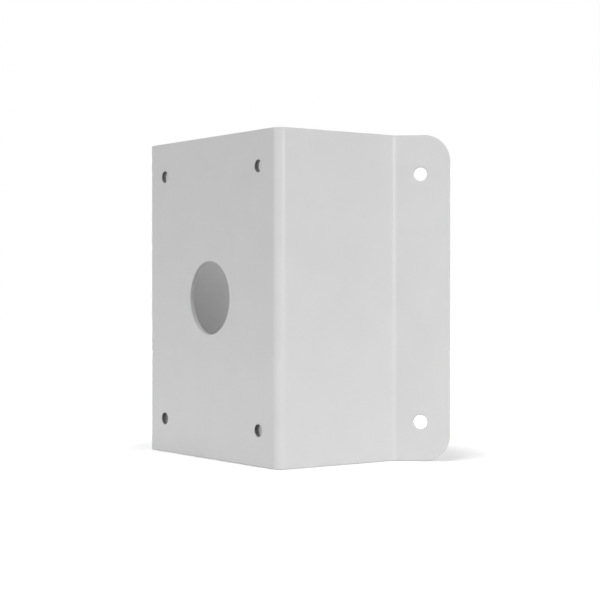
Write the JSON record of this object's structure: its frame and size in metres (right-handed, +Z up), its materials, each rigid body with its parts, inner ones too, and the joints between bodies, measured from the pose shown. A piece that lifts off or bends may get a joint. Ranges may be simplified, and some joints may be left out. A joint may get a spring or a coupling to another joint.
{
  "type": "camera corner mount bracket",
  "caption": "Folded sheet-metal bracket that carries a camera on a building's outside corner, with angled wings, a cable hole and tapped holes.",
  "frame": {"origin": "on the plane of the lower edge, under the middle of the bracket's box", "axes": "+X along the front plate, +Y from the front plate back towards the walls, +Z up along the building's corner"},
  "size_m": [0.1778, 0.102, 0.18],
  "materials": {
    "powder_coat": "satin light grey polyester powder coat on steel sheet"
  },
  "bodies": {
    "root": {"corner_bracket": "powder_coat"}
  },
  "joints": []
}
